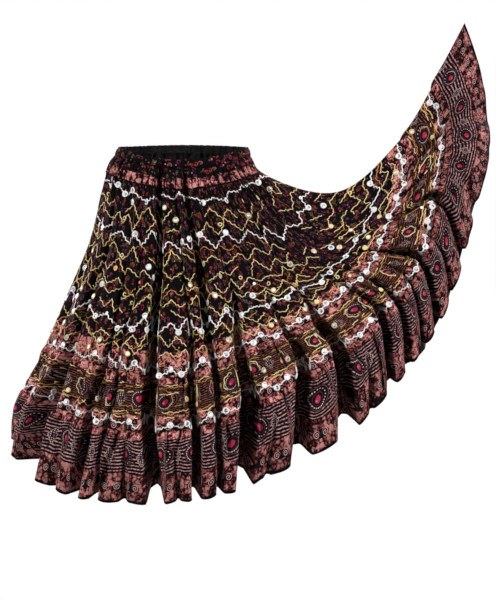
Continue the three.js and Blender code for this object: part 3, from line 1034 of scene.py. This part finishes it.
def zigzag(sheet, length, half_pitch, swing, draw, sway=6.0, wiggle=2.9, gap=0.0, thin=0.0):
    """A hand-worked zigzag round the tier: its path pieces, and its corners as (share, length)."""
    shares, arc = ring_share(sheet, length)
    total = arc[-1]
    count = 2 * int(round(total / half_pitch / 2))
    corners = np.concatenate([[0], np.cumsum(draw.uniform(0.5, 1.5, count))])
    corners = corners / corners[-1] * total
    lifted = np.exp(-(((np.interp(corners, arc, shares) - LIFTED_SHARE) / LIFTED_REACH) ** 2))
    swings = swing * (1 - LIFTED_FLATTER * lifted[:-1]) * draw.uniform(0.2, 1.3, count)
    heights = length + swings * np.where(np.arange(count) % 2, -1, 1)
    heights = heights + sway * np.sin(TAU * SWAYS_ROUND * corners[:-1] / total + draw.uniform(0, TAU))
    heights = np.append(heights, heights[0])
    paths = []
    for k in range(count):
        if draw.uniform() < gap * (1 + thin * lifted[k]):
            continue
        run, drop = corners[k + 1] - corners[k], heights[k + 1] - heights[k]
        long = math.hypot(run, drop)
        t = np.linspace(0, 1, max(6, int(long / PATH_STEP)) + 1)
        waves = max(1.5, round(long / WIGGLE_LENGTH) + draw.choice([-0.5, 0, 0.5]))
        aside = wiggle * np.sin(TAU * waves * t + draw.uniform(0, TAU)) * bump(t) ** 0.5
        aside = aside + draw.uniform(-BOWED, BOWED) * bump(t)
        where = corners[k] + run * t - aside * drop / long
        paths.append((np.interp(where, arc, shares), heights[k] + drop * t + aside * run / long))
    return paths, np.interp(corners[:-1], arc, shares), heights[:-1]


def laid(sheet, share, length, lift):
    points, normals = sheet.at(share, length)
    return points + normals * (sheet.tier["thickness"] / 2 + lift), normals


def spot_on(sheet, share, length, lift):
    points, normals = laid(sheet, np.array([share]), np.array([length]), lift)
    return points[0], normals[0]


RING_SIDES = 14


def loop_around(sheet, share, length, radius, draw, lift):
    """A small closed ring of thread on the cloth."""
    centre, normal = spot_on(sheet, share, length, lift)
    across = unit(np.cross(normal, (0.1, 0.2, 1.0)))
    along = np.cross(normal, across)
    turn = TAU * np.arange(RING_SIDES) / RING_SIDES + draw.uniform(0, 1)
    wave = 1 + 0.05 * np.sin(3 * turn + draw.uniform(0, TAU))
    points = (
        centre
        + across * (radius * wave * np.cos(turn))[:, None]
        + along * (radius * wave * np.sin(turn))[:, None]
    )
    return points, np.broadcast_to(normal, points.shape)


stitch = np.random.default_rng(77)
white_paths, gold_paths, rust_paths = [], [], []
white_rings, cream_rings, gold_rings = [], [], []
WHITE_LIFT, GOLD_LIFT, FINE_LIFT, DISC_LIFT = 0.7, 0.5, 0.4, 0.2
mirror_points, mirror_normals, mirror_radii = [], [], []
MIRROR_RADIUS, MIRROR_TILT = 5.2, 0.14
DEEPEST_HOLLOW, SHORT_STEP = 1.0, 0.0001


def in_hollow(sheet, share, length):
    """Whether the cloth is so hollow there that a mirror would reach through the sides of a fold."""
    near, _ = sheet.at(np.array([share, share + SHORT_STEP]) % 1.0, np.full(2, float(length)))
    reach = SHORT_STEP * MIRROR_RADIUS / np.linalg.norm(near[1] - near[0])
    places = np.array([share - reach, share, share + reach]) % 1.0
    points, normals = sheet.at(places, np.full(3, float(length)))
    return (points[0] + points[2] - 2 * points[1]) @ normals[1] / 2 > DEEPEST_HOLLOW


def add_ring(sheet, share, length, rings, radius, lift=WHITE_LIFT):
    ring = loop_around(sheet, share, length, radius, stitch, lift)
    if not in_hollow(sheet, share, length):
        rings.append(ring)


def add_mirror(sheet, share, length, rings, radius=MIRROR_RADIUS):
    centre, normal = spot_on(sheet, share, length, DISC_LIFT)
    tilted = unit(normal + stitch.normal(0, MIRROR_TILT, 3))
    if not in_hollow(sheet, share, length):
        mirror_points.append(centre)
        mirror_normals.append(tilted)
        mirror_radii.append(radius)
    add_ring(sheet, share, length, rings, radius + 1.3, 1.0)


SEQUINS = {
    "orange_sequins": (0.80, 0.25, 0.09),
    "cream_sequins": (0.80, 0.66, 0.45),
    "white_sequins": (0.90, 0.88, 0.84),
}
SEQUIN_RADIUS = 4.3
sequins = {name: [] for name in SEQUINS}


def add_sequin(sheet, share, length):
    spots = sequins[stitch.choice(list(SEQUINS))]
    if not in_hollow(sheet, share, length):
        spots.append(spot_on(sheet, share, length, DISC_LIFT))
    if stitch.uniform() < 0.6:
        add_ring(sheet, share, length, gold_rings, SEQUIN_RADIUS + 1.2, 0.9)


tier_one, upper, hem = sheets["embroidered_tier"], sheets["upper_flounce"], sheets["hem_flounce"]
WHITE_COLUMNS = ("sheet", "length", "half_pitch", "swing", "mirror_share")
WHITE_ROWS = [dict(zip(WHITE_COLUMNS, row)) for row in (
    (tier_one, 116, 34, 9, 0.5),
    (tier_one, 228, 30, 19, 0.7),
    (tier_one, 428, 30, 17, 0.7),
    (tier_one, 531, 30, 11, 0.7),
    (upper, 688, 32, 11, 0.72),
)]
for row in WHITE_ROWS:
    paths, shares, heights = zigzag(row["sheet"], row["length"], row["half_pitch"], row["swing"], stitch)
    white_paths += [laid(row["sheet"], share, length, WHITE_LIFT) for share, length in paths]
    for share, height in zip(shares, heights):
        if stitch.uniform() < row["mirror_share"]:
            add_mirror(row["sheet"], share, height, white_rings)
        elif stitch.uniform() < 0.4:
            add_ring(row["sheet"], share, height, white_rings, 3.6)

# Gold rows between the white ones
for length in (160, 194, 268, 304, 340, 376, 402, 462, 494):
    paths, _, _ = zigzag(tier_one, length, 27, 17, stitch, 4.0, 2.1, gap=0.12, thin=1.5)
    gold_paths += [laid(tier_one, share, height, GOLD_LIFT) for share, height in paths]

# Broken rust rows, mostly near its foot
for length in (246, 352, 446, 480, 512, 538):
    paths, _, _ = zigzag(tier_one, length, 24, 13, stitch, 4.0, 2.0, gap=0.55, thin=0.6)
    rust_paths += [laid(tier_one, share, height, FINE_LIFT) for share, height in paths]

# Mirrors and rings scattered between the rows
for length in (140, 178, 210, 286, 322, 358, 390, 478, 506):
    shares, arc = ring_share(tier_one, length)
    count = int(arc[-1] / 90)
    for place in (np.arange(count) + stitch.uniform(0.1, 0.9, count)) / count * arc[-1]:
        share, height = float(np.interp(place, arc, shares)), length + stitch.uniform(-10, 10)
        kind = stitch.uniform()
        if kind < 0.3:
            add_mirror(tier_one, share, height, (white_rings, cream_rings, gold_rings)[int(kind * 10)])
        elif kind < 0.56:
            add_sequin(tier_one, share, height)
        elif kind < 0.74:
            add_ring(tier_one, share, height, gold_rings, 4.2)

# Stitched lines along the edges of the upper flounce's stripes, and a few across its middle
STRIPE_LINES = ((572, 0.4), (580, 0.3), (596, 0.8), (632, 0.8), (650, 0.5), (657, 0.3), (664, 0.5))
for k, (length, gap) in enumerate(STRIPE_LINES):
    paths, _, _ = zigzag(upper, length, 17, 2.2, stitch, 1.5, 1.5, gap=gap)
    target = rust_paths if k % 2 else gold_paths
    target += [laid(upper, share, height, FINE_LIFT) for share, height in paths]

# Wandering outlines on one side of the upper flounce's paisleys, and a mirror by some of them
upper_repeat = PRINTS["upper_flounce"][1][3]["repeat"]
paisley_count = int(round(upper.arc[-1] * MM / upper_repeat))
for k in range(paisley_count):
    middle = upper.tier["top"] + 72 + stitch.uniform(-4, 4)
    turn = stitch.uniform(0, TAU) + np.linspace(0, stitch.uniform(2.2, 4.4), 30)
    wide = (22 + 1.6 * np.sin(turn * 7)) * MM
    share = upper.share_at_arc(((k + 0.5) * upper_repeat + wide * np.cos(turn)) / MM % upper.arc[-1])
    target = gold_paths if k % 3 else rust_paths
    if np.abs(np.diff(share)).max() < 0.1:
        target.append(laid(upper, share, middle + wide / MM * 1.2 * np.sin(turn), FINE_LIFT))
    if stitch.uniform() < 0.6:
        beside = float(upper.share_at_arc((k + stitch.uniform(0.0, 0.25)) * upper_repeat / MM))
        add_mirror(upper, beside, upper.tier["top"] + stitch.uniform(45, 95), cream_rings, 4.6)
    if stitch.uniform() < 0.5:
        beside = float(upper.share_at_arc((k + stitch.uniform(0.7, 0.95)) * upper_repeat / MM))
        add_sequin(upper, beside, upper.tier["top"] + stitch.uniform(35, 105))

white = thread_material("white_thread_cotton", (0.90, 0.89, 0.87), (0.76, 0.75, 0.75))
cream = thread_material("cream_thread_cotton", (0.74, 0.62, 0.38), (0.66, 0.52, 0.27))
gold = thread_material("gold_thread_cotton", (0.74, 0.56, 0.20), (0.84, 0.70, 0.37))
rust = thread_material("rust_thread_cotton", (0.55, 0.2, 0.04), (0.66, 0.33, 0.08))

trim = [
    discs(
        name, [spot[0] for spot in spots], [spot[1] for spot in spots], [SEQUIN_RADIUS] * len(spots), 0.8,
        sequin_material(name[:-1] + "_foil", SEQUINS[name]),
    )
    for name, spots in sequins.items()
]
trim += [
    cords("white_zigzag_thread", white_paths, 1.6, 1.0, white),
    cords("gold_zigzag_thread", gold_paths, 1.15, 0.75, gold),
    cords("rust_line_thread", rust_paths, 0.9, 0.6, rust),
    cords("white_ring_thread", white_rings, 2.0, 1.3, white, closed=True),
    cords("cream_ring_thread", cream_rings, 1.5, 1.1, cream, closed=True),
    cords("gold_ring_thread", gold_rings, 1.4, 1.0, gold, closed=True),
    discs("mirrors", mirror_points, mirror_normals, mirror_radii, 0.9, mirror_material()),
]

# The rolled black hem edge
edge_cotton = plain_cotton("hem_edge_cotton", BLACK, (0.012, 0.011, 0.012))
trim.append(cords("hem_roll", [(hem.points[-1], hem.normals[-1])], 1.1, 1.1, edge_cotton, closed=True))
for piece in trim[:-1]:
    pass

# Each tier's cut: a strip as long as its foot, and as wide as the tier. The embroidered tier's panels
# are shorter along the yoke than along the foot.
EMBROIDERED_TOP_CUT = 2.2
for name, sheet in sheets.items():
    wide = float(sheet.arc[-1]) * MM
    tall = float(np.linalg.norm(np.diff(sheet.points, axis=0), axis=2).sum(0).mean()) * MM
    (wide + EMBROIDERED_TOP_CUT) / 2 * tall if name == "embroidered_tier" else None

# Camera, floor and light
camera = placed("camera", bpy.data.cameras.new("camera"))
camera.location = (0.174, -3.5, 0.0)
AIM = (0.174, 0.0, -0.41)
LONG_SIDE_PX, FOCAL_PX, SENSOR_MM = 600, 1305, 36


def aim(thing, target):
    direction = np.array(target) - np.array(thing.location)
    yaw = math.atan2(direction[1], direction[0]) - math.pi / 2
    pitch = math.atan2(direction[2], math.hypot(direction[0], direction[1])) + math.pi / 2
    thing.rotation_euler = (pitch, 0, yaw)


aim(camera, AIM)
camera.data.sensor_width = SENSOR_MM
camera.data.lens = SENSOR_MM * FOCAL_PX / LONG_SIDE_PX
bpy.context.scene.camera = camera

FLOOR_Z, FLOOR_HALF, FLOOR_TONE = -1.17, 12.0, 0.3
FLOOR_CORNERS = ((-1, -1), (1, -1), (1, 1), (-1, 1))
WORLD_LIGHT = 0.05
WHITE = (1.0, 1.0, 1.0, 1.0)


def white_where_seen(tree, shader, paper_kind, surface):
    """The shader for all light that falls on the skirt, and plain white paper where it is looked at."""
    seen, mix = tree.nodes.new("ShaderNodeLightPath"), tree.nodes.new("ShaderNodeMixShader")
    paper = tree.nodes.new(paper_kind)
    paper.inputs["Color"].default_value = WHITE
    tree.links.new(seen.outputs["Is Camera Ray"], mix.inputs[0])
    tree.links.new(shader.outputs[0], mix.inputs[1])
    tree.links.new(paper.outputs[0], mix.inputs[2])
    tree.links.new(mix.outputs[0], surface)


def paper_floor():
    """A plain floor that throws little light back up."""
    mesh = bpy.data.meshes.new("paper_floor")
    corners = [(x * FLOOR_HALF, y * FLOOR_HALF, FLOOR_Z) for x, y in FLOOR_CORNERS]
    mesh.from_pydata(corners, [], [(0, 1, 2, 3)])
    piece = placed("paper_floor", mesh)
    net = Net("floor_paper")
    mesh.materials.append(net.finish((FLOOR_TONE,) * 3, Roughness=0.95))
    surface = net.tree.nodes["Material Output"].inputs["Surface"]
    white_where_seen(net.tree, net.shader, "ShaderNodeEmission", surface)


def studio_world():
    """A dim white room."""
    world = bpy.data.worlds.new("studio")
    world.use_nodes = True
    tree = world.node_tree
    room = tree.nodes["Background"]
    room.inputs["Strength"].default_value = WORLD_LIGHT
    room.inputs["Color"].default_value = WHITE
    white_where_seen(tree, room, "ShaderNodeBackground", tree.nodes["World Output"].inputs["Surface"])
    return world


paper_floor()
bpy.context.scene.world = studio_world()
bpy.context.scene.view_settings.view_transform = "Standard"

LIGHT_COLUMNS = ("name", "place", "target", "size", "watts")
LIGHTS = [dict(zip(LIGHT_COLUMNS, row)) for row in (
    ("key", (-3.1, -2.3, 1.3), (0.1, 0, -0.4), 1.0, 144),
    ("fill", (3.3, -2.1, 1.0), (0.2, 0, -0.4), 1.2, 136),
    ("front", (-0.4, -4.2, 1.6), (0.2, 0, -0.5), 1.0, 6),
    ("top", (0.3, 0.2, 2.6), (0.2, 0, -0.4), 1.6, 30),
    ("back_key", (3.2, 2.6, 1.3), (0.1, 0, -0.4), 1.0, 185),
    ("back_fill", (-3.2, 2.4, 1.0), (0.2, 0, -0.4), 1.2, 130),
)]
for row in LIGHTS:
    lamp = placed(row["name"], bpy.data.lights.new(row["name"], "AREA"))
    lamp.data.size = row["size"]
    lamp.data.energy = row["watts"]
    lamp.location = row["place"]
    aim(lamp, row["target"])
